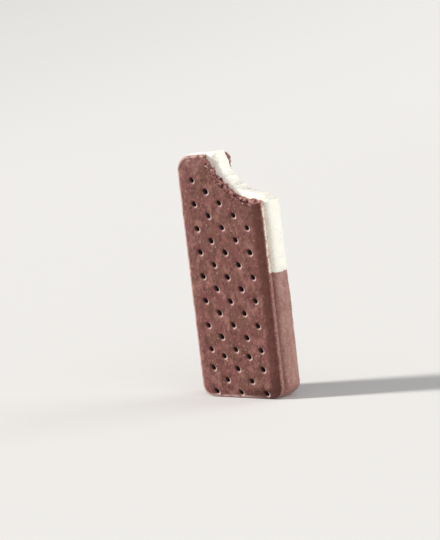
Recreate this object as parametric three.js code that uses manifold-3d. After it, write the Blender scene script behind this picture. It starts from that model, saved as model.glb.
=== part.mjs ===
// A bitten ice cream sandwich that stands on its short end, in millimetres, +Z up.
// The front wafer faces -Y, X runs across the sandwich, and the origin is the middle of its foot.
// Two docked chocolate wafers hold a filling of two half blocks: vanilla above, chocolate below.
import * as THREE from "three";
import { mergeVertices } from "three/addons/utils/BufferGeometryUtils.js";
import Module from "manifold-3d";

// Driving dimensions
const length = 120;
const width = 50;
const waferThickness = 4;
const fillingThickness = 10.5;
const topCornerRadius = 8;
const footCornerRadius = 6;
const waferEdge = { across: 2.2, deep: 1.4, steps: 3 }; // the outer face's edge is rounded over
const backWaferSlip = -1.5; // the back wafer sits a little off to the side
const layerGap = 0.1;

// Docker holes: staggered rows of three and two, counted up from the foot. The stamp restarts once,
// so one step between rows is short.
const docking = {
  pitchAcross: 15.9,
  firstRow: 2.5,
  rowStep: 6.02,
  rows: 19,
  shortStepAfterRow: 4,
  shortStep: 3.3,
  holeRadius: 1.15,
  dimpleRadius: 1.9,
  dimpleDepth: 0.5,
  depth: 3.2,
  sides: 8,
};

// The filling swells out between the wafers and is flat under the foot.
const filling = {
  swell: 3.2,
  inset: 0.3,
  topInset: 2.7,
  seamHeight: 61.25,
  slopeSteps: 3,
};

// The bite: tooth arcs round an axis along Y, above the bitten corner. The filling keeps a ridge
// where the teeth met, and the back wafer is bitten deeper between the bite's two ends.
const bite = {
  axisX: 25.5,
  axisZ: 130,
  radius: 34,
  from: THREE.MathUtils.degToRad(185),
  to: THREE.MathUtils.degToRad(300),
  start: THREE.MathUtils.degToRad(196),
  end: THREE.MathUtils.degToRad(272),
  teeth: 9,
  facetsPerTooth: 4,
  toothDepth: 0.7,
  ridge: 3.1,
  ridgeAtTop: 1.3, // it stands prouder still near the top end
  ridgeTopReach: THREE.MathUtils.degToRad(17),
  ridgeRise: THREE.MathUtils.degToRad(9), // and sinks to nothing over this angle at both ends
  deeperAtBack: 3,
  layers: 12,
};

const { clamp, smoothstep } = THREE.MathUtils;
const wasm = await Module();
wasm.setup();
const thickness = fillingThickness + 2 * waferThickness;
const clear = 1; // how far a cutting tool runs past what it cuts

function solidOf(geometry) {
  const bare = new THREE.BufferGeometry().setAttribute(
    "position",
    (geometry.index ? geometry.toNonIndexed() : geometry).getAttribute("position"),
  );
  const merged = mergeVertices(bare, 1e-4);
  return new wasm.Manifold(
    new wasm.Mesh({
      numProp: 3,
      vertProperties: merged.attributes.position.array,
      triVerts: new Uint32Array(merged.index.array),
    }),
  );
}

function meshOf(name, solid, material) {
  const { vertProperties, triVerts } = solid.getMesh();
  const geometry = new THREE.BufferGeometry();
  geometry.setAttribute("position", new THREE.BufferAttribute(vertProperties, 3));
  geometry.setIndex(new THREE.BufferAttribute(triVerts, 1));
  geometry.computeVertexNormals();
  const mesh = new THREE.Mesh(geometry, material);
  mesh.name = name;
  return mesh;
}

function boxSolid(low, high) {
  const size = high.clone().sub(low);
  const middle = low.clone().add(high).multiplyScalar(0.5);
  return solidOf(
    new THREE.BoxGeometry(size.x, size.y, size.z).translate(middle.x, middle.y, middle.z),
  );
}

// The sandwich's outline drawn in by a margin at its sides and foot, and by another at its top.
// It lies in the shape's own XY, which is stood up into XZ once it is extruded.
function outline(margin, topMargin) {
  const [right, top, foot] = [width / 2 - margin, length - topMargin, margin];
  const [topRadius, footRadius] = [topCornerRadius - topMargin, footCornerRadius - margin];
  const shape = new THREE.Shape();
  shape.absarc(right - footRadius, foot + footRadius, footRadius, -Math.PI / 2, 0);
  shape.absarc(right - topRadius, top - topRadius, topRadius, 0, Math.PI / 2);
  shape.absarc(topRadius - right, top - topRadius, topRadius, Math.PI / 2, Math.PI);
  shape.absarc(footRadius - right, foot + footRadius, footRadius, Math.PI, 1.5 * Math.PI);
  return shape;
}

// An extrusion from y = low to y = high, with rounded or swelling sides.
function slab(shape, low, high, options) {
  const ends = options.bevelEnabled ? options.bevelThickness : 0;
  const geometry = new THREE.ExtrudeGeometry(shape, { depth: high - low - 2 * ends, ...options });
  return geometry.rotateX(Math.PI / 2).translate(0, high - ends, 0);
}

// How far out of the filling's middle a point lies: 0 in the middle, 1 at the wafers.
const awayFromMiddle = (y) => Math.min(1, Math.abs(y) / (fillingThickness / 2));

// The angle of a direction, from 0 to a whole turn.
const turnOf = (x, z) => (Math.atan2(z, x) + 2 * Math.PI) % (2 * Math.PI);

// The radius of the bite at an angle round its axis and a depth y through the sandwich.
function biteRadius(angle, y) {
  const toothTurn = ((angle - bite.from) / (bite.to - bite.from)) * bite.teeth * Math.PI;
  const along = clamp((angle - bite.start) / (bite.end - bite.start), 0, 1);
  const middleOfBite = Math.sin(along * Math.PI);
  const rising = smoothstep(angle, bite.start - bite.ridgeRise / 2, bite.start + bite.ridgeRise / 2);
  const sinking = 1 - smoothstep(angle, bite.end - bite.ridgeRise, bite.end);
  const nearTop = 1 - smoothstep(angle, bite.start, bite.start + bite.ridgeTopReach);
  const proudness = (bite.ridge + bite.ridgeAtTop * nearTop) * rising * sinking;
  const ridge = proudness * (1 - awayFromMiddle(y) ** 6);
  const atBack = smoothstep(y, fillingThickness / 4, fillingThickness / 2);
  return (
    bite.radius +
    bite.toothDepth * Math.abs(Math.sin(toothTurn)) -
    ridge +
    bite.deeperAtBack * middleOfBite * atBack
  );
}

function biteTool() {
  const shape = new THREE.Shape();
  shape.moveTo(0, 0);
  shape.lineTo(bite.radius * Math.cos(bite.from), bite.radius * Math.sin(bite.from));
  shape.absarc(0, 0, bite.radius, bite.from, bite.to);
  const geometry = slab(shape, -thickness / 2 - clear, thickness / 2 + clear, {
    bevelEnabled: false,
    curveSegments: bite.teeth * bite.facetsPerTooth,
    steps: bite.layers,
  });
  const position = geometry.getAttribute("position");
  for (let i = 0; i < position.count; i++) {
    const [x, y, z] = [position.getX(i), position.getY(i), position.getZ(i)];
    const grow = biteRadius(turnOf(x, z), y) / bite.radius;
    position.setXYZ(i, x * grow, y, z * grow);
  }
  return solidOf(geometry.translate(bite.axisX, 0, bite.axisZ));
}

// Heights of the docker rows, from the foot up.
function rowHeights() {
  const heights = [docking.firstRow];
  for (let row = 1; row < docking.rows; row++) {
    const step = row === docking.shortStepAfterRow ? docking.shortStep : docking.rowStep;
    heights.push(heights[row - 1] + step);
  }
  return heights;
}

// The point of each hole on the wafer's face; rows of three and two take turns.
function holePlaces() {
  const places = [];
  rowHeights().forEach((height, row) => {
    const holes = row % 2 ? 2 : 3;
    for (let hole = 0; hole < holes; hole++) {
      places.push([(hole - (holes - 1) / 2) * docking.pitchAcross, height]);
    }
  });
  return places;
}

// Whether the bite, grown by a margin, takes a point of the face at depth y.
function insideBite([x, z], y, margin) {
  const [dx, dz] = [x - bite.axisX, z - bite.axisZ];
  return Math.hypot(dx, dz) < biteRadius(turnOf(dx, dz), y) + margin;
}

// One docking pin: a straight blind hole with a dimpled mouth, pushed in along +Y.
function dockingPin() {
  const profile = [
    [0, -clear],
    [docking.dimpleRadius, -clear],
    [docking.dimpleRadius, 0],
    [docking.holeRadius, docking.dimpleDepth],
    [docking.holeRadius, docking.depth],
    [0, docking.depth],
  ].map(([radius, depth]) => new THREE.Vector2(radius, depth));
  return new THREE.LatheGeometry(profile, docking.sides);
}

// The outer side of a wafer is -1 at the front and +1 at the back.
function waferSolid(outward) {
  const outer = outward * (thickness / 2);
  const inner = outward * (fillingThickness / 2);
  // The slab runs past the inner face, where a cut leaves a sharp edge against the filling.
  const past = inner - outward * 2 * waferEdge.deep;
  const inside = outline(waferEdge.across, waferEdge.across);
  const plate = solidOf(
    slab(inside, Math.min(outer, past), Math.max(outer, past), {
      bevelEnabled: true,
      bevelThickness: waferEdge.deep,
      bevelSize: waferEdge.across,
      bevelSegments: waferEdge.steps,
      curveSegments: 5,
    }),
  );
  const kept = boxSolid(
    new THREE.Vector3(-width, Math.min(outer + outward * clear, inner), -clear),
    new THREE.Vector3(width, Math.max(outer + outward * clear, inner), length + clear),
  );
  const pins = holePlaces()
    .filter((place) => !insideBite(place, outer, docking.dimpleRadius))
    .map(([x, z]) => {
      const pin = dockingPin();
      if (outward > 0) pin.rotateX(Math.PI);
      return solidOf(pin.translate(x, outer, z));
    });
  return pins.reduce((wafer, pin) => wafer.subtract(pin), plate.intersect(kept));
}

// The whole filling: an outline that swells between the wafers, cut flat under the foot.
function fillingSolid() {
  const half = fillingThickness / 2 - layerGap;
  const block = solidOf(
    slab(outline(filling.inset, filling.topInset), -half, half, {
      bevelEnabled: true,
      bevelThickness: half - 0.5,
      bevelSize: filling.swell,
      bevelSegments: filling.slopeSteps,
      curveSegments: 5,
    }),
  );
  const aboveFoot = boxSolid(
    new THREE.Vector3(-width, -thickness, 0),
    new THREE.Vector3(width, thickness, length + 2 * filling.swell),
  );
  return block.intersect(aboveFoot);
}

// The filling between two heights, less the bite.
function fillingBlock(whole, low, high) {
  const between = boxSolid(
    new THREE.Vector3(-width, -thickness, low),
    new THREE.Vector3(width, thickness, high),
  );
  return whole.intersect(between);
}

const materials = {
  wafer: new THREE.MeshStandardMaterial({ color: "#855c55", roughness: 0.85, metalness: 0 }),
  vanilla: new THREE.MeshStandardMaterial({ color: "#f7f1e4", roughness: 0.45, metalness: 0 }),
  chocolate: new THREE.MeshStandardMaterial({ color: "#9e7871", roughness: 0.5, metalness: 0 }),
};

const bitten = biteTool();
const wholeFilling = fillingSolid().subtract(bitten);
const seam = filling.seamHeight;
const sandwich = new THREE.Group();
sandwich.add(
  meshOf("wafer_front", waferSolid(-1).subtract(bitten), materials.wafer),
  meshOf(
    "ice_cream_vanilla",
    fillingBlock(wholeFilling, seam + layerGap / 2, 2 * length),
    materials.vanilla,
  ),
  meshOf(
    "ice_cream_chocolate",
    fillingBlock(wholeFilling, -clear, seam - layerGap / 2),
    materials.chocolate,
  ),
);
const backWafer = meshOf("wafer_back", waferSolid(1).subtract(bitten), materials.wafer);
backWafer.position.x = backWaferSlip;
sandwich.add(backWafer);

export default sandwich;
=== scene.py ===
import math
import bpy
import numpy as np
from mathutils import Matrix, Vector


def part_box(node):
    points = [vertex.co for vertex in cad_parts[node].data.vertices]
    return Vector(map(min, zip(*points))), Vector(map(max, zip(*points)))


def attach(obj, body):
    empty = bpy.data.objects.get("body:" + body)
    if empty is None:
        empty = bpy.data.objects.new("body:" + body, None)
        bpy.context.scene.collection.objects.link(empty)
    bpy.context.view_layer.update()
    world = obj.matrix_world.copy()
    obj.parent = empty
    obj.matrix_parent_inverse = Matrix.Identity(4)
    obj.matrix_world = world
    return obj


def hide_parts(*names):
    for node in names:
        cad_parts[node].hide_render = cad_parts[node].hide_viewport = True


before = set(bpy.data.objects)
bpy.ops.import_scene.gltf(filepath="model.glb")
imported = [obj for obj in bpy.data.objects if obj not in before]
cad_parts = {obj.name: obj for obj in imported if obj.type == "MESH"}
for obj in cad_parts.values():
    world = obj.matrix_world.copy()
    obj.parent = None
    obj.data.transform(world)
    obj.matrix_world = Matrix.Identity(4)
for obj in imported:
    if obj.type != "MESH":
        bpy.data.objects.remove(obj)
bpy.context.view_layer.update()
mm = 0.001  # every shape below is worked out in millimetres
print("frame loaded")

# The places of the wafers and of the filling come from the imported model
frontLow, frontHigh = [np.array(corner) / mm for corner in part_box("wafer_front")]
backLow, backHigh = [np.array(corner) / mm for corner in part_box("wafer_back")]
vanillaLow, vanillaHigh = [np.array(corner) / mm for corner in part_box("ice_cream_vanilla")]
chocolateHigh = np.array(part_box("ice_cream_chocolate")[1]) / mm
seamHeight = (chocolateHigh[2] + vanillaLow[2]) / 2


def smooth(low, high, x):
    # 0 below low, 1 above high and an S curve between
    t = np.clip((x - low) / (high - low), 0, 1)
    return t * t * (3 - 2 * t)


def latticeHash(cell, seed):
    # A number from 0 to 1 for each cell of a cubic lattice: its whole coordinates times large primes, mixed
    key = cell[..., 0] * 73856093 ^ cell[..., 1] * 19349663 ^ cell[..., 2] * 83492791 ^ (seed * 7919 + 17)
    key = (key ^ (key >> 15)) * 2246822519 & 0xFFFFFFFF
    key = (key ^ (key >> 13)) * 3266489917 & 0xFFFFFFFF
    return ((key ^ (key >> 16)) & 0xFFFF) / 65535.0


def noise(points, size, seed):
    # Gradient noise, about -1 to 1: each lattice corner holds a slope, and a quintic curve blends what the
    # eight slopes give
    q = points / size
    cell = np.floor(q).astype(np.int64)
    f = q - cell
    w = f * f * f * (f * (f * 6 - 15) + 10)
    total = np.zeros(len(points))
    for i in range(8):
        step = np.array([i & 1, i >> 1 & 1, i >> 2 & 1])
        turn = latticeHash(cell + step, seed) * 2 * math.pi
        up = latticeHash(cell + step, seed + 101) * 2 - 1
        flat = np.sqrt(1 - up * up)
        away = f - step
        slope = flat * np.cos(turn) * away[:, 0] + flat * np.sin(turn) * away[:, 1] + up * away[:, 2]
        total += slope * np.prod(np.where(step, w, 1 - w), axis=1)
    return total * 1.6


def fractal(points, size, octaves, seed):
    # Noise of that size, with noise about half as large and half as high added for each further octave
    return sum(noise(points, size / 2.03 ** i, seed + i) / 2 ** i for i in range(octaves))


def cells(points, size, seed):
    # Distance in mm to the nearest of one random point per lattice cell, and that cell's own random number
    q = points / size
    home = np.floor(q).astype(np.int64)
    best, number = np.full(len(points), np.inf), np.zeros(len(points))
    for i in range(27):
        cell = home + np.array([i % 3 - 1, i // 3 % 3 - 1, i // 9 - 1])
        spot = cell + np.stack([latticeHash(cell, seed + k) for k in range(3)], 1)
        gap = np.linalg.norm(q - spot, axis=1)
        number = np.where(gap < best, latticeHash(cell, seed + 9), number)
        best = np.minimum(best, gap)
    return best * size, number


def raised(points, layer, seed):
    # Noise of a height and a size
    height, size = layer
    return height * noise(points, size, seed)


def pitted(points, layer, seed):
    # Round hollows, deepest in the middle, in a share of the lattice cells, each with its own radius
    depth, spacing, largest, share = layer
    gap, number = cells(points, spacing, seed)
    radius = largest * (0.5 + number / share * 0.5)
    return depth * np.where(number < share, smooth(1, 0, gap / radius), 0)


def arc(x, z, radius, start, end, steps=24):
    # Points on a circle between two angles, in degrees anticlockwise from +X
    turn = np.radians(np.linspace(start, end, steps))
    return np.stack([x + radius * np.cos(turn), z + radius * np.sin(turn)], 1)


def straight(start, end):
    # A line of two points
    return np.array([start, end], float)


def runAlong(line):
    # How far along the line each of its points lies
    return np.concatenate([[0], np.cumsum(np.hypot(*np.diff(line, axis=0).T))])


def evenly(line, count):
    # count + 1 points at equal steps along a line of points
    run = runAlong(line)
    want = np.linspace(0, run[-1], count + 1)
    return np.stack([np.interp(want, run, line[:, i]) for i in (0, 1)], 1)


def unit(vectors):
    # Each vector divided by its length
    return vectors / np.maximum(np.linalg.norm(vectors, axis=-1, keepdims=True), 1e-9)


def averaged(values, window):
    # Mean over a window of neighbours on a closed loop
    return sum(np.roll(values, i, axis=0) for i in range(-window, window + 1)) / (2 * window + 1)


def alongNormals(loop):
    # Outward unit normals of an anticlockwise loop, averaged over a few neighbours to ease its corners
    tangent = np.roll(loop, -1, axis=0) - np.roll(loop, 1, axis=0)
    normal = np.stack([tangent[:, 1], -tangent[:, 0]], 1)
    return unit(averaged(unit(normal), 2))


def gridQuads(rows, columns, wrap=False):
    # Corner numbers of the quads of a grid stored row by row; wrap joins the last column to the first
    index = np.arange(rows * columns).reshape(rows, columns)
    right = np.roll(index, -1, axis=1) if wrap else index[:, 1:]
    left = index if wrap else index[:, :-1]
    return np.stack([left[:-1], right[:-1], right[1:], left[1:]], -1).reshape(-1, 4)


def gridOutline(grid):
    # The point numbers round the border of a grid, anticlockwise from its first corner
    return np.concatenate([grid[0, :-1], grid[:-1, -1], grid[-1, :0:-1], grid[:0:-1, 0]])


def makeMesh(name, vertices, quads, flats, attributes, material):
    # Vertices in mm. The quads are shaded smooth and the other faces, lists of point numbers, flat.
    corners = list(quads) + list(flats)
    sizes = np.array([len(face) for face in corners])
    smoothFaces = np.arange(len(corners)) < len(quads)
    mesh = bpy.data.meshes.new(name)
    mesh.vertices.add(len(vertices))
    mesh.vertices.foreach_set("co", (vertices * mm).astype(np.float32).ravel())
    mesh.loops.add(int(sizes.sum()))
    mesh.loops.foreach_set("vertex_index", np.concatenate(corners).astype(np.int32))
    mesh.polygons.add(len(corners))
    mesh.polygons.foreach_set("loop_start", (np.cumsum(sizes) - sizes).astype(np.int32))
    mesh.update(calc_edges=True)
    mesh.polygons.foreach_set("use_smooth", smoothFaces)
    for label, values in attributes.items():
        layer = mesh.attributes.new(label, "FLOAT", "POINT")
        layer.data.foreach_set("value", values.astype(np.float32))
    piece = bpy.data.objects.new(name, mesh)
    bpy.context.scene.collection.objects.link(piece)
    mesh.materials.append(material)
    print(f"{name}: {len(vertices)} points, {int((sizes - 2).sum())} triangles")
    return piece


bite = {
    "right": 0.5,         # the bite's axis lies this far right of the front wafer
    "above": 10.0,        # and this far above it
    "radius": 34.0,
    "toothArc": 12.8,     # degrees of bite that one tooth takes
    "toothFirst": 185.0,
    "toothDepth": 0.75,
    "toothPower": 0.75,   # of the sine that each tooth leaves; less makes the cusps sharper
    "wander": 0.35,       # the line strays this much from the tooth arcs
    "wanderSize": 4.5,
    "start": 196.0,       # degrees where the bite meets the top edge
    "end": 272.0,         # and the side
    "deeperAtBack": 3.0,
}
axisX = frontHigh[0] + bite["right"]
axisZ = frontHigh[2] + bite["above"]


def degreesAt(points):
    # The angle of each point round the bite's axis
    return np.degrees(np.arctan2(points[:, 1] - axisZ, points[:, 0] - axisX)) % 360


def middleOfBite(degrees):
    # 0 at the bite's two ends and 1 half way
    return np.sin(np.clip((degrees - bite["start"]) / (bite["end"] - bite["start"]), 0, 1) * math.pi)


def biteRadius(degrees, seed, chips, deeper):
    # Tooth arcs that meet in cusps, a slow wander, chips, and a bow that is deepest half way. A chip is a
    # bell curve: its angle, half its width in degrees, and its depth.
    tooth = np.abs(np.sin(np.pi * (degrees - bite["toothFirst"]) / bite["toothArc"])) ** bite["toothPower"]
    turn = np.radians(degrees)
    onArc = np.stack([np.cos(turn), np.zeros_like(turn), np.sin(turn)], 1) * bite["radius"]
    wander = bite["wander"] * fractal(onArc, bite["wanderSize"], 3, seed)
    radius = bite["radius"] + bite["toothDepth"] * tooth + wander
    for middle, half, depth in chips:
        radius += depth * np.exp(-((degrees - middle) / half) ** 2)
    return radius + deeper * middleOfBite(degrees)


def biteLine(top, right, seed, chips, deeper):
    # The bite's edge from the top edge down to the side: worked out past both and then cut to them
    degrees = np.linspace(180, 300, 1200)
    radius = biteRadius(degrees, seed, chips, deeper)
    turn = np.radians(degrees)
    line = np.stack([axisX + radius * np.cos(turn), axisZ + radius * np.sin(turn)], 1)
    inside = np.flatnonzero((line[:, 1] <= top) & (line[:, 0] <= right))
    kept = line[inside[0]:inside[-1] + 1]
    kept[0, 1], kept[-1, 0] = top, right
    return kept


bar = {
    "topCorner": 8.0,     # radius of the two top corners of a wafer
    "footCorner": 6.0,    # and of the two it stands on
    "bevel": 5.6,         # how far in from its edge the baked face starts to slope away
    "bevelDrop": 0.95,    # how far it has sloped down at the edge
    "bevelPower": 1.35,   # of the slope: 1 is straight, more starts gently
    "round": 0.9,         # the edge itself is rounded over, this far in
    "roundDrop": 0.5,     # and this far down
    "deepest": 3.6,       # no hole or dent goes further in
    "warp": 0.16,         # how much the outline wanders
    "warpAcross": 16.0,   # and over what lengths, sideways
    "warpUp": 21.0,       # and up and down
    "inset": 0.5,         # the face's grid ends this far inside the edge
    "across": 168,        # its cells from side to side
    "up": 400,            # and from foot to top
    "cell": 0.3,          # and how long each is, near enough
    "easing": 60,         # rounds of averaging that even them out
}

docking = {
    "pitch": 15.9,        # across a row
    "firstRow": 2.5,
    "rowStep": 6.02,
    "rows": 19,
    "shortRow": 4,        # the stamp starts again at this row
    "shortStep": 3.3,
    "radius": 1.26,
    "taper": 0.24,        # a hole's wall narrows by this much
    "depth": 3.0,
    "bowl": 0.5,          # its floor is this much higher at the wall than in the middle
    "lipWidth": 0.8,      # its rim is rounded over, this far out
    "lipDrop": 0.36,
    "rimShade": 0.85,      # how much painted shade the rim gets, where the middle of the hole gets 1
    "dentWidth": 2.0,     # the pin also drags a wide shallow dent into the face
    "dentDrop": 0.32,
    "reach": 5.0,         # past this nothing of it shows
    "lean": (0.85, -0.53),  # the way the pins leaned as they came out; each rim gets a painted highlight on that side, which faces the key lamp and they drew the hole out this much longer that way and narrower across
    "drawn": 1.16,        # there and drew the hole out this much longer that way and narrower across
    "highlightAt": 0.35,     # the painted highlight is strongest this far outside the rim
    "wander": 0.13,       # how far a pin is off its place
    "radii": (0.92, 1.08),  # and the range of the holes' radii, depths and lips
    "depths": (0.9, 1.05),
    "lips": (0.7, 1.2),
    "clear": 0.2,         # a hole whose middle is nearer the bite than this has gone with it
}

# What the baked skin carries, as height and size in mm, or for pits depth, spacing, radius and share
skin = {
    "wave": (0.20, 13.0),
    "lump": (0.13, 4.2),
    "blister": (0.35, 7.5, 0.8, 0.18),
    "pinhole": (0.16, 2.4, 0.5, 0.35),
}

# The same for the torn crumb, and the rest of a torn edge
tear = {
    "coarse": (0.5, 3.0),
    "middling": (0.5, 1.4),
    "fine": (0.2, 0.6),
    "pore": (0.7, 2.2, 0.9, 0.4),
    "under": 0.5,         # it is at its roughest from here under the skin, where the cracks are too
    "crackHeight": 0.34,  # half a crack's height
    "foot": 0.5,          # it stands out this far where it meets the filling
    "chipFrom": 0.3,      # chips on the filling's side start this far down
    "chipFull": 3.2,
}

# Rows of points from the face's border to the inner face: how much of the way out to the edge each has
# come, how many mm down it lies where the edge is baked round, and what share of the way where it is torn
edgeRows = {
    "out": np.array([0.4, 0.75, 0.95] + 10 * [1.0]),
    "rounded": np.array([0.06, 0.15, 0.28, 0.4, 0.6, 0.9, 1.25, 1.6, 1.9, 2.2, 2.4, 2.55, 2.6]),
    "torn": np.array([0.04, 0.09, 0.15, 0.21, 0.28, 0.37, 0.47, 0.57, 0.67, 0.77, 0.87, 0.95, 1]),
}

baking = {
    "margin": 6.0,        # the right margin, which slopes away from the key lamp, gets painted shade from this far in to the side
    "marginSlope": 0.45,  # and from this share of the slope out
    "footShadow": 11.0,       # height of the painted shadow near the foot, darker still
    "rubbed": (1.5, 0.6),  # the other edges, which face the light, get a painted highlight, from the first of these to the second
    "side": (0.3, 0.9),   # mm down the edge where the face's colour gives way to the side's
    "smear": (1.1, 1.7),  # and where the filling has smeared over it
    "smearRagged": 0.5,
}


def patch(bottom, right, top, left):
    # A surface between four border lines: the sum of the two ruled surfaces less the one through
    # the four corners, then eased by replacing each inner point by the mean of its neighbours
    u = np.linspace(0, 1, len(bottom))[None, :, None]
    v = np.linspace(0, 1, len(left))[:, None, None]
    across = (1 - u) * left[:, None] + u * right[:, None]
    along = (1 - v) * bottom[None] + v * top[None]
    corners = (1 - v) * ((1 - u) * bottom[0] + u * bottom[-1]) + v * ((1 - u) * top[0] + u * top[-1])
    surface = across + along - corners
    for _ in range(bar["easing"]):
        beside = surface[:-2, 1:-1] + surface[2:, 1:-1] + surface[1:-1, :-2] + surface[1:-1, 2:]
        surface[1:-1, 1:-1] = beside / 4
    return surface


def faceGrid(low, high, torn):
    # The grid of the baked face, between the foot, the right side, the bite and the left side with the
    # top. Each corner at the foot is shared by halves between the foot and its side.
    inset = bar["inset"]
    small, large = bar["footCorner"] - inset, bar["topCorner"] - inset
    left, right, foot, head = low[0] + inset, high[0] - inset, inset, high[2] - inset
    footLeft, footRight = (left + small, foot + small, small), (right - small, foot + small, small)
    topLeft = (left + large, head - large, large)
    bottom = np.concatenate([arc(*footLeft, 225, 270), arc(*footRight, 270, 315)])
    rightSide = np.concatenate([arc(*footRight, 315, 360), torn[-1:]])
    leftSide = np.concatenate([arc(*footLeft, 225, 180), arc(*topLeft, 180, 90), torn[:1]])
    across, up = bar["across"], bar["up"]
    return patch(evenly(bottom, across), evenly(rightSide, up), evenly(torn, across), evenly(leftSide, up))


def insideEdge(points, low, high):
    # Distance in from the outline of a rectangle whose top and foot corners have their own radii
    middle, half = (low + high) / 2, (high - low) / 2
    radius = np.where(points[:, 1] > middle[1], bar["topCorner"], bar["footCorner"])
    past = np.abs(points - middle) - half + radius[:, None]
    return radius - np.linalg.norm(np.maximum(past, 0), axis=1) - np.minimum(past.max(1), 0)


def dockerHoles(middle):
    # Rows of three holes and of two take turns, counted up from the foot
    row = np.arange(docking["rows"])
    height = docking["firstRow"] + row * docking["rowStep"]
    height -= np.where(row >= docking["shortRow"], docking["rowStep"] - docking["shortStep"], 0)
    threes = [(middle + side * docking["pitch"], z) for z in height[::2] for side in (-1, 0, 1)]
    twos = [(middle + side * docking["pitch"] / 2, z) for z in height[1::2] for side in (-1, 1)]
    return np.array(threes + twos)


def keptHoles(middle, wafer):
    # The docker holes that lie outside the bite
    holes = dockerHoles(middle)
    reach = np.hypot(holes[:, 0] - axisX, holes[:, 1] - axisZ)
    cut = biteRadius(degreesAt(holes), wafer["seed"], wafer["chips"], wafer["deeper"])
    return holes[reach > cut + docking["clear"]]


def acrossHole(points, hole):
    # Distance from a hole's middle, shortened along its lean and lengthened across it
    lean = np.array(docking["lean"])
    along = (points - hole) @ lean / docking["drawn"]
    beside = (points - hole) @ np.array([-lean[1], lean[0]]) * docking["drawn"]
    return np.hypot(along, beside)


def punch(points, hole, radius, depth, lip):
    # One docker hole in the face's grid: points near the rim move onto its outline and the next ones in
    # onto the foot of its wall; the lip round it sinks by a parabola, and the dent by a bell curve.
    # Gives the points, their depth, and how much painted shade each gets: full inside the hole, less on its
    # rim.
    gap = acrossHole(points, hole)
    cell = bar["cell"]
    rim = np.abs(gap - radius) < cell / 2
    wall = (gap <= radius - cell / 2) & (gap > radius - 1.5 * cell)
    target = np.where(rim, radius, np.where(wall, radius - docking["taper"], gap))
    moved = hole + (points - hole) * (target / np.maximum(gap, 1e-6))[:, None]
    sunk = lip * np.clip(1 - (target - radius) / docking["lipWidth"], 0, 1) ** 2
    sunk += docking["dentDrop"] * np.exp(-(gap / docking["dentWidth"]) ** 2)
    inside = ~rim & (gap < radius)
    floor = depth - docking["bowl"] * (target / radius) ** 2
    return moved, np.where(inside, floor, sunk), inside + docking["rimShade"] * rim


def dockFace(flat, border, relief, holes, rng):
    # Punches the holes into the face's points and relief, each a little off its place and of its own size.
    # Points on the border stay. Gives how much painted shade each point gets in and on the holes, and how
    # much
    # painted highlight its lip gets: a ring just outside the rim, times how far it lies the way the pins
    # leaned, which is the side that faces the key lamp.
    holeShade, lips = np.zeros(len(flat)), np.zeros(len(flat))
    for hole in holes:
        spot = hole + rng.normal(0, docking["wander"], 2)
        radius = docking["radius"] * rng.uniform(*docking["radii"])
        depth = docking["depth"] * rng.uniform(*docking["depths"])
        lip = docking["lipDrop"] * rng.uniform(*docking["lips"])
        near = np.flatnonzero(np.abs(flat - spot).max(1) < docking["reach"])
        moved, down, dark = punch(flat[near], spot, radius, depth, lip)
        flat[near] = np.where(np.isin(near, border)[:, None], flat[near], moved)
        relief[near] = np.where(down > 1, 0, relief[near]) + down
        holeShade[near] = np.maximum(holeShade[near], dark)
        ring = smooth(0.6, 0.25, np.abs(acrossHole(flat[near], spot) - radius - docking["highlightAt"]))
        leaned = np.clip(unit(flat[near] - spot) @ docking["lean"], 0, 1) ** 1.5
        lips[near] = np.maximum(lips[near], ring * leaned)
    return holeShade, lips


def tornRow(loop, start, below, thick, wafer):
    # How far a row of the torn edge lies back, and how much of that is crack. Crumb noise fades in under
    # the skin, and the edge leans out to the filling. A crack is a flat-topped bell curve along the bite
    # times a narrow one down it, and a chip on the filling's side a bell curve that grows on the way down.
    seed = wafer["seed"]
    turn = degreesAt(loop)
    spot = np.stack([loop[:, 0], below + 20, loop[:, 1]], 1)
    rough = raised(spot, tear["coarse"], seed + 5) + raised(spot, tear["middling"], seed + 6)
    rough += raised(spot, tear["fine"], seed + 7) + pitted(spot, tear["pore"], seed + 8)
    back = smooth(0, tear["under"], below - start) * rough - tear["foot"] * smooth(0, thick, below)
    crack = np.zeros(len(loop))
    for middle, half, deep in wafer["splits"]:
        under = (below - start - tear["under"]) / tear["crackHeight"]
        crack += deep * np.exp(-((turn - middle) / half) ** 4 - under ** 2)
    back += crack
    for middle, half, deep in wafer["innerChips"]:
        grown = smooth(tear["chipFrom"], tear["chipFull"], below)
        back += deep * np.exp(-((turn - middle) / half) ** 2) * grown
    return back, crack


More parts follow.
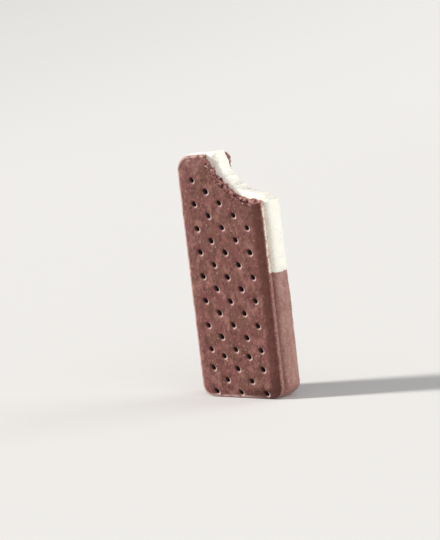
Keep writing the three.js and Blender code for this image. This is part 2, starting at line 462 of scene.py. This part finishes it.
def waferShape(low, high, wafer):
    # The baked face is a patch inside the outline with the holes punched in it. Rows of points carry its
    # border over the rounded edge, or down the torn edge at the bite, to the flat face on the filling.
    seed, outward = wafer["seed"], wafer["outward"]
    centre = (low[0] + high[0]) / 2
    right, head = high[0] - bar["inset"], high[2] - bar["inset"]
    edgeLine = biteLine(head, right, seed, wafer["chips"], wafer["deeper"])
    flat = faceGrid(low, high, edgeLine).reshape(-1, 2)
    border = gridOutline(np.arange(len(flat)).reshape(bar["up"] + 1, bar["across"] + 1))

    # How far the face has sunk below its highest level
    away = insideEdge(flat, np.array([low[0], 0.0]), np.array([high[0], high[2]]))
    slope = np.clip(1 - away / bar["bevel"], 0, 1)
    curl = np.clip(1 - away / bar["round"], 0, 0.999)
    sunk = bar["bevelDrop"] * slope ** bar["bevelPower"] + bar["roundDrop"] * (1 - np.sqrt(1 - curl ** 2))
    at = np.stack([flat[:, 0], np.full(len(flat), 40.0 * outward), flat[:, 1]], 1)
    lumpHeight, lumpSize = skin["lump"]
    relief = raised(at, skin["wave"], seed + 1) + lumpHeight * fractal(at, lumpSize, 4, seed + 2)
    relief += pitted(at, skin["blister"], seed + 3) + pitted(at, skin["pinhole"], seed + 4)

    # Painted shade on the right margin, which slopes away from the key lamp, and a painted shadow near the
    # foot;
    # the other edges, which face the lamp, get a painted highlight
    rightward = smooth(centre, high[0] - baking["margin"], flat[:, 0])
    marginShade = smooth(0, baking["marginSlope"], slope) * rightward
    footShadow = marginShade * np.exp(-(flat[:, 1] / baking["footShadow"]) ** 2)
    rim = smooth(*baking["rubbed"], away) * (1 - rightward)

    holeShade, lips = dockFace(flat, border, relief, keptHoles(centre, wafer), np.random.default_rng(seed))
    sunk = np.minimum(sunk + relief, bar["deepest"])

    # Rows from the face's border to the inner face
    loop = flat[border]
    normal = alongNormals(loop)
    count, rows = len(border), len(edgeRows["out"])
    onBite = np.zeros(count)
    onBite[bar["across"] + bar["up"]:2 * bar["across"] + bar["up"] + 1] = 1
    bitten = averaged(onBite, 3)
    outset = averaged(normal * bar["inset"] * (1 - onBite)[:, None], 3)
    start = sunk[border]
    thick = high[1] - low[1]
    points, depth, tornness, dark = [flat], [sunk], [np.zeros(len(flat))], [holeShade]
    tornness[0][border] = bitten
    for out, rounded, share in zip(edgeRows["out"], edgeRows["rounded"], edgeRows["torn"]):
        # Where the face has sunk far, as in a hole on the edge, a row is held back from the ones below it
        onEdge = np.where(share == 1, thick, np.minimum(start + rounded, thick * (0.2 + 0.75 * share)))
        below = onEdge * (1 - bitten) + (start + (thick - start) * share) * bitten
        back, crack = tornRow(loop, start, below, thick, wafer)
        points.append(loop + outset * out - normal * (back * bitten)[:, None])
        depth.append(below)
        tornness.append(bitten)
        # The cracks under the skin get painted shade, stronger where they go deeper
        dark.append(np.clip(crack, 0, 0.95) * bitten)
    points, depth = np.concatenate(points), np.concatenate(depth)

    # The whole outline wanders a little, but not up or down where it stands
    outer = high[1] if outward > 0 else low[1]
    sway = np.stack([points[:, 0], np.full(len(points), outer), points[:, 1]], 1)
    lifted = smooth(0, 6, points[:, 1])
    x = points[:, 0] + bar["warp"] * noise(sway, bar["warpAcross"], seed + 10)
    z = points[:, 1] + bar["warp"] * noise(sway, bar["warpUp"], seed + 11) * lifted
    vertices = np.stack([x, outer - outward * depth, z], 1)

    ring = np.concatenate([border, np.arange(len(flat), len(vertices))]).reshape(-1, count)
    after = np.roll(ring, -1, axis=1)
    band = np.stack([ring[:-1], after[:-1], after[1:], ring[1:]], -1).reshape(-1, 4)
    faces = np.concatenate([gridQuads(bar["up"] + 1, bar["across"] + 1)[:, ::-1], band[:, ::-1]])

    # The filling has smeared over the last of the wafer's sides, up to a ragged line
    onFace = np.zeros(len(flat))
    ragged = baking["smearRagged"] * fractal(vertices[len(flat):], 3.0, 3, seed + 12)
    smear = smooth(*baking["smear"], np.repeat(edgeRows["rounded"], count) + ragged)
    above = z[len(flat):] > seamHeight
    side = np.repeat(smooth(*baking["side"], edgeRows["rounded"]), count)
    looks = {
        "marginShade": np.concatenate([marginShade, np.tile(marginShade[border], rows)]),
        "footShadow": np.concatenate([footShadow, np.tile(footShadow[border], rows)]),
        "rim": np.concatenate([rim, np.tile(rim[border], rows)]),
        "lip": np.concatenate([lips, np.zeros(count * rows)]),
        "side": np.concatenate([onFace, side]),
        "white": np.concatenate([onFace, smear * above]),
        "brown": np.concatenate([onFace, smear * ~above]),
        "torn": np.concatenate(tornness),
        "recessShade": np.concatenate(dark),
    }
    return vertices, faces, [ring[-1]], looks


filling = {
    "side": 24.95,        # half its width where it touches the wafers
    "top": 117.6,
    "foot": 0.3,          # its outline starts this high, and the bulge comes down to the ground
    "topCorner": 6.0,
    "footCorner": 6.4,
    "swell": 3.0,         # how far it bulges out between the wafers
    "fullness": 2.6,      # power of the bulge: 2 is an ellipse, more is squarer
    "toWafer": 0.05,      # it fills half of the gap to each wafer
    "above": 0.4,         # it rises no further than this past its CAD block
    "ridge": 3.1,         # how far it stands proud of the bite in the wafers
    "ridgeAtTop": 1.3,    # and how much more near the top end
    "ridgeRise": (-5, 3),  # it rises over these degrees from the bite's start,
    "ridgeSink": 9,       # sinks over these last ones
    "ridgeTop": (8, 9),   # and is proudest so far from the start, over so many degrees each way
    "cornerReach": 12,    # mm over which the swelling of a bitten corner dies away
    "spacing": 0.36,      # of the points round it
    "rows": 42,           # of points from wafer to wafer
    "seamTilt": 0.4,      # the seam is higher at the front than at the back
    "seamWave": (0.35, 7.0),
    "seamReach": 4.0,     # the surface within this of the seam follows it
    "wave": (0.34, 12.0),  # what the moulded skin carries, as on the wafers
    "lump": (0.15, 3.8),
    "grain": (0.07, 1.2),
    "bubble": (0.4, 5.0, 0.7, 0.3),
    "scrape": (0.22, 1.6),  # and what the teeth left in the bite
    "drag": (0.16, 0.9),
    "pore": (0.35, 2.6, 0.8, 0.35),
}


def creamRound(lines):
    # A closed loop from lines that meet, with points at equal steps, and which line each point is on
    parts = [evenly(line, max(4, round(runAlong(line)[-1] / filling["spacing"]))) for line in lines]
    which = np.concatenate([np.full(len(part) - 1, i) for i, part in enumerate(parts)])
    return np.concatenate([part[:-1] for part in parts]), which


def seamShift(x, y):
    # How far the seam lies off its mean height: a wave along it and a tilt from front to back
    wave = raised(np.stack([x, 0.4 * y, np.zeros_like(x)], 1), filling["seamWave"], 31)
    return wave - filling["seamTilt"] * y / chocolateHigh[1]


def biteShifts(bitten):
    # For the points on the bite, from the side up to the top: the way the ridge pushes them towards the
    # bite's axis, the way the back's deeper bite draws them off, and the way the two corners swell,
    # along the bite's own line, fading away from each corner. Last, that way at the top.
    toward = unit(np.array([axisX, axisZ]) - bitten)
    turn = degreesAt(bitten)
    rise, full = bite["start"] + np.array(filling["ridgeRise"])
    proudness = smooth(rise, full, turn) * smooth(bite["end"], bite["end"] - filling["ridgeSink"], turn)
    proudest, half = filling["ridgeTop"]
    atTop = np.exp(-((turn - bite["start"] - proudest) / half) ** 2)
    proudness *= filling["ridge"] + filling["ridgeAtTop"] * atTop
    run = np.arange(len(bitten)) * filling["spacing"]
    fromSide = np.clip(1 - run / filling["cornerReach"], 0, 1)[:, None]
    fromTop = np.clip(1 - run[::-1] / filling["cornerReach"], 0, 1)[:, None]
    sideWay, topWay = unit(bitten[0] - bitten[4]), unit(bitten[-1] - bitten[-5])
    sideWay, topWay = sideWay / sideWay[0], topWay / topWay[1]
    swell = (sideWay * fromSide + topWay * fromTop) * filling["swell"]
    deeper = -toward * bite["deeperAtBack"] * middleOfBite(turn)[:, None]
    return toward * proudness[:, None], deeper, swell, topWay


def creamBlock(lines, biteNumber, seed):
    # Points round the block at each depth y from wafer to wafer. Each is pushed out along its own
    # direction by a superellipse of y, and in the bite it stands proud by a flatter curve of y.
    loop, which = creamRound(lines)
    normal = alongNormals(loop)
    swell = normal * filling["swell"]
    swell[:, 1] = np.where(normal[:, 1] < 0, normal[:, 1] * filling["foot"], swell[:, 1])
    # The seam, which is the first line, only widens with the sides
    onSeam = which == 0
    widening = loop[onSeam, 0] / filling["side"] * filling["swell"]
    swell[onSeam] = np.stack([widening, np.zeros_like(widening)], 1)
    ridge, deeper = np.zeros_like(loop), np.zeros_like(loop)
    onBite = which == biteNumber
    if onBite.any():
        ridge[onBite], deeper[onBite], swell[onBite], topWay = biteShifts(loop[onBite])
        last = np.flatnonzero(onBite)[-1]
        top = np.arange(last + 1, last + 1 + round(filling["cornerReach"] / filling["spacing"]))
        swell[top, 0] += topWay[0] * filling["swell"] * np.linspace(1, 0, len(top))
    swell, ridge, deeper = averaged(swell, 2), averaged(ridge, 2), averaged(deeper, 2)

    # Rows crowd towards the wafers, where the bulge turns in fastest
    half = chocolateHigh[1] + filling["toWafer"]
    t = np.linspace(-1, 1, filling["rows"] + 1)[:, None]
    share = 0.5 * t + 0.5 * np.sin(t * math.pi / 2)
    y = share * half
    away = np.abs(share)
    bulge = np.clip(1 - away ** filling["fullness"], 0, 1) ** (1 / filling["fullness"])
    proud = 1 - away ** 8
    atBack = smooth(half / 2, half, y)
    x = loop[:, 0] + swell[:, 0] * bulge + ridge[:, 0] * proud + deeper[:, 0] * atBack
    z = loop[:, 1] + swell[:, 1] * bulge + ridge[:, 1] * proud + deeper[:, 1] * atBack
    at = np.stack([x, y + 0 * x, z], -1).reshape(-1, 3)

    # Slow waves, fine grain and small hollows along the normals; the bite has scraped grooves as well
    fromWafer = 1 - np.repeat(away, len(loop))
    free = np.tile(~onSeam & (loop[:, 1] > 1), len(t)) * smooth(0, 0.12, fromWafer)
    inBite = np.tile(averaged(onBite.astype(float), 2), len(t))
    wave = raised(at * [1, 1, 0.6], filling["wave"], seed) + raised(at, filling["lump"], seed + 1)
    wave += raised(at, filling["grain"], seed + 2) - pitted(at, filling["bubble"], seed + 3)
    drag = raised(at * [1, 0.22, 1], filling["scrape"], seed + 4) + raised(at, filling["drag"], seed + 5)
    move = (wave + inBite * (drag - pitted(at, filling["pore"], seed + 6))) * free
    out = np.tile(normal, (len(t), 1))
    at[:, 0] += out[:, 0] * move
    at[:, 2] += out[:, 1] * move
    nearSeam = np.exp(-((at[:, 2] - seamHeight) / filling["seamReach"]) ** 2)
    at[:, 2] += seamShift(at[:, 0], at[:, 1]) * nearSeam
    at[:, 2] = np.clip(at[:, 2], 0, vanillaHigh[2] + filling["above"])

    # The seam's own faces and the two on the wafers are flat
    quads = gridQuads(len(t), len(loop), wrap=True)
    hidden = np.tile(onSeam & np.roll(onSeam, -1), len(t) - 1)
    ring = np.arange(len(loop))
    caps = [ring[::-1], ring + len(loop) * (len(t) - 1)]
    crumby = np.maximum(smooth(0.3, 0.05, fromWafer), 0.9 * smooth(9, 1, at[:, 2]))
    return at, quads[~hidden], list(quads[hidden]) + caps, {"crumby": crumby}


crumb = {
    "onTear": 320,        # crumbs stuck to the torn edges of both wafers
    "onCream": 150,       # and on the filling beside the wafers
    "creamHeights": (3, 57),  # between these heights
    "largest": 0.75,      # half the width of the largest, near enough
    "onCreamSize": 0.45,  # those on the filling are this many times as large
    "around": 8,          # points round a crumb
    "rings": 5,
}


def crumbShape(places, sizes, seed):
    # Lumps: rings of points on a ball, each at its own radius, stretched and turned, closed by two caps
    rng = np.random.default_rng(seed)
    count, around, rings = len(places), crumb["around"], crumb["rings"]
    turn = np.arange(around) / around * 2 * math.pi
    tilt = np.radians(np.linspace(-64, 64, rings))[:, None]
    ball = np.stack([np.cos(tilt) * np.cos(turn), np.cos(tilt) * np.sin(turn), np.sin(tilt) + 0 * turn], -1)
    ball = ball.reshape(1, -1, 3) * rng.uniform(0.72, 1.15, (count, around * rings, 1))
    ball = ball * rng.uniform(0.55, 1.1, (count, 1, 3)) * sizes[:, None, None]
    spin, _ = np.linalg.qr(rng.normal(size=(count, 3, 3)))
    spin *= np.sign(np.linalg.det(spin))[:, None, None]
    points = np.einsum("nij,nkj->nki", spin, ball) + places[:, None]
    first = (np.arange(count) * around * rings)[:, None, None]
    quads = (gridQuads(rings, around, wrap=True)[None] + first).reshape(-1, 4)
    ring = np.arange(around)
    caps = (np.stack([ring[::-1], ring + around * (rings - 1)])[None] + first).reshape(-1, around)
    return points.reshape(-1, 3), quads, list(caps), {"torn": np.ones(count * around * rings)}


def chosen(points, weight, count, rng):
    # That many of the points, drawn by weight
    return points[rng.choice(len(points), count, p=weight / weight.sum())]


def linear(hexColour):
    # sRGB hex to the linear colour a shader takes
    channels = np.array([int(hexColour[i:i + 2], 16) for i in (1, 3, 5)]) / 255
    return (*np.where(channels <= 0.04045, channels / 12.92, ((channels + 0.055) / 1.055) ** 2.4), 1.0)


def perMetre(size):
    # Scale of a pattern on Object coordinates whose features are that many millimetres
    return 1 / (size * mm)


def addNode(tree, kind, settings=None, links=None):
    # A node with its sockets' values or its own settings, and with sockets linked to its inputs
    node = tree.nodes.new("ShaderNode" + kind)
    for key, value in (settings or {}).items():
        if isinstance(key, int) or key in node.inputs:
            node.inputs[key].default_value = value
        else:
            setattr(node, key, value)
    for key, socket in (links or {}).items():
        tree.links.new(socket, node.inputs[key])
    return node


def newMaterial(name, settings):
    # A material of one shader, with its settings
    material = bpy.data.materials.new(name)
    material.use_nodes = True
    tree = material.node_tree
    tree.nodes.clear()
    shader = addNode(tree, "BsdfPrincipled", settings)
    addNode(tree, "OutputMaterial", {}, {"Surface": shader.outputs["BSDF"]})
    return material, tree, shader


waferLook = {
    "mauve": "#794743",
    "olive": "#6d4637",
    "dark": "#4a2721",
    "light": "#9a6a60",
    "speck": "#bb938b",
    # Painted shade on the right margin
    "marginShade": "#592e26",
    # Painted highlight on the edges that face the key lamp
    "rim": "#d0aca4",
    # Painted highlight on the lit side of each hole's rim
    "lip": "#d2b5ac",
    "side": "#73453d",
    "brown": "#a47a72",
    "white": "#efe3d3",
    "crumb": "#96615b",
    "deep": "#3a1512",
    "crest": "#bb8d86",
    # Painted shade in the holes and cracks
    "recessShade": "#120705",
    "roughness": (0.55, 0.8),  # from the greasiest to the driest places
    "dust": 2.2,          # mm across those places
    "grain": (1.1, 0.15),  # size and height of the baked grain
    "grit": (0.35, 0.06),  # and of sugar and cocoa grit, really 0.1 mm and drawn coarser so that it shows
}

# Colours laid over the mauve in turn: noise of that size in mm covers from low to high, on the whole wafer
# or where an attribute of the mesh says
waferLayers = [
    {"colour": "olive", "size": 8.0, "detail": 3, "low": 0.44, "high": 0.57, "most": 0.75},
    {"colour": "light", "size": 4.2, "detail": 4, "low": 0.5, "high": 0.66, "most": 0.7},
    {"colour": "dark", "size": 2.4, "detail": 5, "low": 0.5, "high": 0.68, "most": 0.7},
    {"colour": "speck", "size": 1.1, "detail": 4, "low": 0.59, "high": 0.7, "most": 0.6},
    {"colour": "dark", "size": 1.0, "detail": 3, "low": 0.57, "high": 0.66, "most": 0.6},
    # Painted shade on the right margin
    {"colour": "marginShade", "where": "marginShade", "most": 0.78},
    # Painted shadow near the foot
    {"colour": "dark", "where": "footShadow", "most": 0.75},
    # Painted highlight on the edges that face the key lamp
    {"colour": "rim", "where": "rim", "size": 3.0, "detail": 4, "low": 0.3, "high": 0.5, "most": 0.9},
    {"colour": "side", "where": "side", "most": 0.9},
    {"colour": "brown", "where": "brown", "most": 0.95},
    {"colour": "white", "where": "white", "most": 0.95},
    {"colour": "crumb", "where": "side", "size": 1.3, "detail": 3, "low": 0.5, "high": 0.6, "most": 0.6},
    {"colour": "speck", "where": "side", "size": 1.0, "detail": 2, "low": 0.56, "high": 0.64, "most": 0.6},
    {"colour": "crumb", "where": "torn", "most": 1.0},
    {"colour": "deep", "where": "torn", "size": 1.6, "detail": 3, "low": 0.48, "high": 0.58, "most": 0.8},
    {"colour": "crest", "where": "torn", "size": 1.5, "detail": 2, "low": 0.53, "high": 0.62, "most": 0.9},
    # Painted highlight on the lit side of each hole's rim
    {"colour": "lip", "where": "lip", "most": 0.8},
    # Painted shade in the holes and cracks
    {"colour": "recessShade", "where": "recessShade", "most": 1.0},
]


def bakedWafer():
    # Baked chocolate wafer: a dull, dry biscuit pressed from dark dough in a mould, so it is blotched and
    # streaked where it baked unevenly, finely pitted, and dusty with pale specks. Its torn crumb is redder.
    # Painted shade and painted highlights are laid over it where the mesh's attributes say.
    material, tree, shader = newMaterial("Baked chocolate wafer", {"IOR": 1.45, "Specular IOR Level": 0.35})
    place = addNode(tree, "TexCoord").outputs["Object"]
    streaked = addNode(tree, "Mapping", {"Scale": (1.0, 1.0, 0.7)}, {"Vector": place}).outputs["Vector"]
    mauve = linear(waferLook["mauve"])
    under = {}
    for number, layer in enumerate(waferLayers):
        cover = {}
        if "size" in layer:
            # A step of its own along Y keeps two layers of the same size apart
            step = {"operation": "ADD", 1: (0.0, 0.05 * number, 0.0)}
            apart = addNode(tree, "VectorMath", step, {0: streaked})
            grain = {"Scale": perMetre(layer["size"]), "Detail": layer["detail"]}
            blotch = addNode(tree, "TexNoise", grain, {"Vector": apart.outputs[0]})
            levels = {"From Min": layer["low"], "From Max": layer["high"], "To Max": layer["most"]}
            cover[0] = addNode(tree, "MapRange", levels, {"Value": blotch.outputs["Fac"]}).outputs["Result"]
        if "where" in layer:
            cover[1] = addNode(tree, "Attribute", {"attribute_name": layer["where"]}).outputs["Fac"]
            share = addNode(tree, "Math", {"operation": "MULTIPLY", 0: layer["most"]}, cover)
            cover = {0: share.outputs[0]}
        colours = {"data_type": "RGBA", 6: mauve, 7: linear(waferLook[layer["colour"]])}
        under = {6: addNode(tree, "Mix", colours, {**cover, **under}).outputs[2]}
    tree.links.new(under[6], shader.inputs["Base Color"])
    dust = {"Scale": perMetre(waferLook["dust"]), "Detail": 2.0}
    dusty = addNode(tree, "TexNoise", dust, {"Vector": place})
    least, most = waferLook["roughness"]
    dull = addNode(tree, "MapRange", {"From Min": 0.3, "From Max": 0.7, "To Min": least, "To Max": most},
                   {"Value": dusty.outputs["Fac"]})
    tree.links.new(dull.outputs["Result"], shader.inputs["Roughness"])
    normal = {}
    for size, height in (waferLook["grain"], waferLook["grit"]):
        grain = addNode(tree, "TexNoise", {"Scale": perMetre(size), "Detail": 3.0}, {"Vector": place})
        bump = addNode(tree, "Bump", {"Strength": 0.5, "Distance": height * mm},
                       {"Height": grain.outputs["Fac"], **normal})
        normal = {"Normal": bump.outputs["Normal"]}
    tree.links.new(normal["Normal"], shader.inputs["Normal"])
    return material


creamLook = {
    "vanilla": {
        "colour": "#fdf9ef",
        "shade": "#f9f1df",   # of the streaks
        "frost": "#ffffff",
        "glow": 0.35,         # how much of its light comes from under the skin
        "roughness": 0.38,
        "crumbs": 0.12,       # how strongly crumbs discolour it beside the wafers
    },
    "chocolate": {
        "colour": "#a67f74",
        "shade": "#93645a",
        "frost": "#c8aaa1",
        "glow": 0.18,
        "roughness": 0.42,
        "crumbs": 0.65,
    },
}


def iceCream(flavour):
    # Churned ice cream pressed into a block: light scatters a little way in, and its damp frozen skin
    # has a soft shine, with faint streaks where it slid along the mould.
    look = creamLook[flavour]
    material, tree, shader = newMaterial(
        f"Churned {flavour} ice cream",
        {"IOR": 1.36, "Subsurface Weight": look["glow"], "Subsurface Radius": (1.0, 0.75, 0.55),
         "Subsurface Scale": 1.6 * mm, "Roughness": look["roughness"]})
    place = addNode(tree, "TexCoord").outputs["Object"]
    along = addNode(tree, "Mapping", {"Scale": (1.0, 1.0, 0.3)}, {"Vector": place}).outputs["Vector"]
    streaks = addNode(tree, "TexNoise", {"Scale": perMetre(3.0), "Detail": 4.0}, {"Vector": along})
    shade = addNode(tree, "MapRange", {"From Min": 0.35, "From Max": 0.68},
                    {"Value": streaks.outputs["Fac"]})
    creams = {"data_type": "RGBA", 6: linear(look["colour"]), 7: linear(look["shade"])}
    colour = addNode(tree, "Mix", creams, {0: shade.outputs["Result"]}).outputs[2]
    # Frost has settled on it in grains
    frost = addNode(tree, "TexNoise", {"Scale": perMetre(1.1), "Detail": 3.0}, {"Vector": place})
    frosted = addNode(tree, "MapRange", {"From Min": 0.50, "From Max": 0.68, "To Max": 0.4},
                      {"Value": frost.outputs["Fac"]})
    colour = addNode(tree, "Mix", {"data_type": "RGBA", 7: linear(look["frost"])},
                     {0: frosted.outputs["Result"], 6: colour}).outputs[2]
    # Crumb-coloured specks lie in the first millimetre beside the wafers, and the block is speckled darker
    # towards its foot
    rubbed = addNode(tree, "Attribute", {"attribute_name": "crumby"}).outputs["Fac"]
    specks = addNode(tree, "TexNoise", {"Scale": perMetre(1.2), "Detail": 3.0}, {"Vector": place})
    speckled = addNode(tree, "MapRange", {"From Min": 0.48, "From Max": 0.60, "To Max": look["crumbs"]},
                       {"Value": specks.outputs["Fac"]})
    share = addNode(tree, "Math", {"operation": "MULTIPLY"}, {0: rubbed, 1: speckled.outputs["Result"]})
    colour = addNode(tree, "Mix", {"data_type": "RGBA", 7: linear(waferLook["crumb"])},
                     {0: share.outputs[0], 6: colour}).outputs[2]
    tree.links.new(colour, shader.inputs["Base Color"])
    # Ice crystals of about 0.05 mm, drawn coarser so that they show
    grain = addNode(tree, "TexNoise", {"Scale": perMetre(0.7), "Detail": 3.0}, {"Vector": place})
    bump = addNode(tree, "Bump", {"Strength": 0.4, "Distance": 0.12 * mm}, {"Height": grain.outputs["Fac"]})
    tree.links.new(bump.outputs["Normal"], shader.inputs["Normal"])
    return material


waferMaterial = bakedWafer()
creamMaterials = {flavour: iceCream(flavour) for flavour in creamLook}
print("materials made")

# For each wafer: which way its baked face looks along Y, how much deeper it is bitten half way, and where
# the edge at the bite has chipped. A chip or split is its angle round the bite's axis and half its width,
# both in degrees, and its depth in mm; less than nothing stands out.
frontWafer = {
    "outward": -1,
    "deeper": 0,
    "chips": [(241.5, 5.0, 1.2), (234, 2.0, 0.3), (257, 7.0, 1.5), (257, 1.0, 0.4), (210, 4.0, -0.3),
              (268, 3.0, -0.5)],
    # On the filling's side
    "innerChips": [(200, 3.0, 1.7), (209, 1.2, 1.0), (229, 1.3, -1.1), (241, 4.5, -1.1), (257, 7.0, -1.5),
                   (254.4, 1.3, 1.8), (258, 1.2, -0.9), (262, 1.5, -0.6)],
    # Where the baked skin has come away from the crumb under it
    "splits": [(227, 8.0, 1.5), (247, 5.0, 1.3), (259, 5.0, 1.1), (212, 3.0, 0.8)],
    "seed": 11,
}
backWafer = {
    "outward": 1,
    "deeper": bite["deeperAtBack"],
    "chips": [(203.2, 5.0, -2.4), (213, 3.0, 1.0), (239, 3.0, 0.8), (267, 3.0, -0.8)],
    "innerChips": [(206, 2.0, 0.8), (224, 1.5, -0.7), (245, 3.0, 0.9), (258, 1.5, -0.8)],
    "splits": [(214, 5.0, 0.8), (250, 6.0, 0.9)],
    "seed": 53,
}
backHigh[2] -= 0.4  # the back wafer was cut a little shorter

pieces = []
tornPoints = []
for node, name, low, high, look in (
        ("wafer_front", "FrontWafer", frontLow, frontHigh, frontWafer),
        ("wafer_back", "BackWafer", backLow, backHigh, backWafer)):
    points, quads, flats, attributes = waferShape(low, high, look)
    wafer = makeMesh(name, points, quads, flats, attributes, waferMaterial)
    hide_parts(node)
    pieces.append((wafer, "chocolate_wafer"))
    tornPoints.append(points[attributes["torn"] > 0.9])

sideX, topZ, footZ = filling["side"], filling["top"], filling["foot"]
topR, footR = filling["topCorner"], filling["footCorner"]
bitten = biteLine(topZ, sideX, frontWafer["seed"], [], 0)
# Each block's outline anticlockwise from the seam; the vanilla's line number 2 is the bite
blocks = {
    "vanilla": {"biteNumber": 2, "seed": 71, "lines": [
        straight((-sideX, seamHeight), (sideX, seamHeight)),
        straight((sideX, seamHeight), (sideX, bitten[-1, 1])),
        bitten[::-1],
        straight((bitten[0, 0], topZ), (topR - sideX, topZ)),
        arc(topR - sideX, topZ - topR, topR, 90, 180),
        straight((-sideX, topZ - topR), (-sideX, seamHeight)),
    ]},
    "chocolate": {"biteNumber": None, "seed": 83, "lines": [
        straight((sideX, seamHeight), (-sideX, seamHeight)),
        straight((-sideX, seamHeight), (-sideX, footZ + footR)),
        arc(footR - sideX, footZ + footR, footR, 180, 270),
        straight((footR - sideX, footZ), (sideX - footR, footZ)),
        arc(sideX - footR, footZ + footR, footR, 270, 360),
        straight((sideX, footZ + footR), (sideX, seamHeight)),
    ]},
}
besideWafers = []
for flavour, look in blocks.items():
    points, quads, flats, attributes = creamBlock(look["lines"], look["biteNumber"], look["seed"])
    name = f"{flavour.capitalize()}IceCream"
    block = makeMesh(name, points, quads, flats, attributes, creamMaterials[flavour])
    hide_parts(f"ice_cream_{flavour}")
    pieces.append((block, f"{flavour}_ice_cream"))
    besideWafers.append(points[(np.abs(points[:, 1]) > 4.2) & (np.abs(points[:, 2] - seamHeight) > 1)])

rng = np.random.default_rng(5)
fromTear = np.concatenate(tornPoints)
fromCream = np.concatenate(besideWafers)
lowest, highest = crumb["creamHeights"]
within = (fromCream[:, 2] > lowest) & (fromCream[:, 2] < highest)
places = np.concatenate([chosen(fromTear, np.ones(len(fromTear)), crumb["onTear"], rng),
                         chosen(fromCream, within.astype(float), crumb["onCream"], rng)])
sizes = crumb["largest"] * rng.uniform(0.25, 1, len(places)) ** 1.5
sizes[crumb["onTear"]:] *= crumb["onCreamSize"]
crumbs = makeMesh("WaferCrumbs", *crumbShape(places, sizes, 9), waferMaterial)
pieces.append((crumbs, "chocolate_wafer"))

for piece, slotName in pieces:
    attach(piece, "root")
print("sandwich built")

studio = {
    "floorRadius": 1.7,   # metres of flat floor before it curves up into the wall
    "curve": 1.4,
    "wall": 1.8,
    "clear": 0.0004,      # the floor lies this far under the foot, so that their faces don't meet
    "colour": "#d1d1d0",
    "air": "#ffffff",     # the light from all round
    "airStrength": 0.35,
}


def studioShape():
    # A round backdrop: a flat floor, a quarter circle and a wall, turned about the upright axis
    rise = np.radians(np.linspace(0, 90, 12))
    reach = np.concatenate([[0.05, 0.6, 1.2], studio["floorRadius"] + studio["curve"] * np.sin(rise),
                            [studio["floorRadius"] + studio["curve"]]])
    height = np.concatenate([[0, 0, 0], studio["curve"] * (1 - np.cos(rise)), [studio["wall"]]])
    turn = np.linspace(0, 2 * math.pi, 97)[:-1]
    points = np.stack([reach[:, None] * np.cos(turn), reach[:, None] * np.sin(turn),
                       height[:, None] - studio["clear"] + 0 * turn], -1).reshape(-1, 3)
    return points / mm, gridQuads(len(reach), len(turn), wrap=True), [np.arange(len(turn))]


# Matte paint rolled on board, which shows no shine and no edge
paint = {"Base Color": linear(studio["colour"]), "Roughness": 0.9}
backdropMaterial = newMaterial("Matte painted backdrop", paint)[0]
points, quads, flats = studioShape()
backdrop = makeMesh("StudioBackdrop", points, quads, flats, {}, backdropMaterial)
backdrop.visible_diffuse = False  # it takes light and shadow but throws none back on the sandwich
backdrop.visible_shadow = False

# Soft lamps far away: the way to each, how wide it looks in degrees, its strength and its colour
lamps = {
    "KeyLamp": {"way": (-0.78, -0.39, 0.5), "wide": 9, "strength": 4.6, "colour": "#fffaf5"},
    "FillLamp": {"way": (1.0, -0.4, 0.3), "wide": 50, "strength": 1.45, "colour": "#ffffff"},
    "BackLamp": {"way": (0.8, 0.65, 0.4), "wide": 50, "strength": 1.15, "colour": "#ffffff"},
}


def addLamp(name, look):
    # A sun whose own Z axis points the way it shines from
    light = bpy.data.lights.new(name, "SUN")
    light.angle = math.radians(look["wide"])
    light.energy = look["strength"]
    light.color = linear(look["colour"])[:3]
    lamp = bpy.data.objects.new(name, light)
    lamp.matrix_world = Vector(look["way"]).to_track_quat("Z", "Y").to_matrix().to_4x4()
    bpy.context.scene.collection.objects.link(lamp)


for name, look in lamps.items():
    addLamp(name, look)

scene = bpy.context.scene
scene.world = bpy.data.worlds.new("Studio air")
scene.world.use_nodes = True
air = scene.world.node_tree.nodes["Background"]
air.inputs["Color"].default_value = linear(studio["air"])
air.inputs["Strength"].default_value = studio["airStrength"]
scene.view_settings.view_transform = "Standard"

camera = {
    "azimuth": 41.57,     # degrees round from the front
    "elevation": 7.45,
    "roll": -6.73,
    "distance": 1.0,
    "target": (-0.00708, -0.00577, 0.06289),
    "lens": 136.27,
    "nearest": 0.05,      # it sees from here
    "furthest": 10,       # to here
}


def addCamera(look):
    # It stands at its distance from the target, looks back at it, and is rolled about that line
    a, e, roll = [math.radians(look[key]) for key in ("azimuth", "elevation", "roll")]
    back = Vector((math.sin(a) * math.cos(e), -math.cos(a) * math.cos(e), math.sin(e)))
    right = Vector((math.cos(a), math.sin(a), 0))
    up = back.cross(right)
    across = right * math.cos(roll) + up * math.sin(roll)
    above = up * math.cos(roll) - right * math.sin(roll)
    data = bpy.data.cameras.new("Camera")
    data.lens = look["lens"]
    data.clip_start = look["nearest"]
    data.clip_end = look["furthest"]
    eye = bpy.data.objects.new("Camera", data)
    turn = Matrix((across, above, back)).transposed().to_4x4()
    eye.matrix_world = Matrix.Translation(Vector(look["target"]) + back * look["distance"]) @ turn
    scene.collection.objects.link(eye)
    scene.camera = eye


addCamera(camera)
print("studio lit")

bpy.context.view_layer.update()
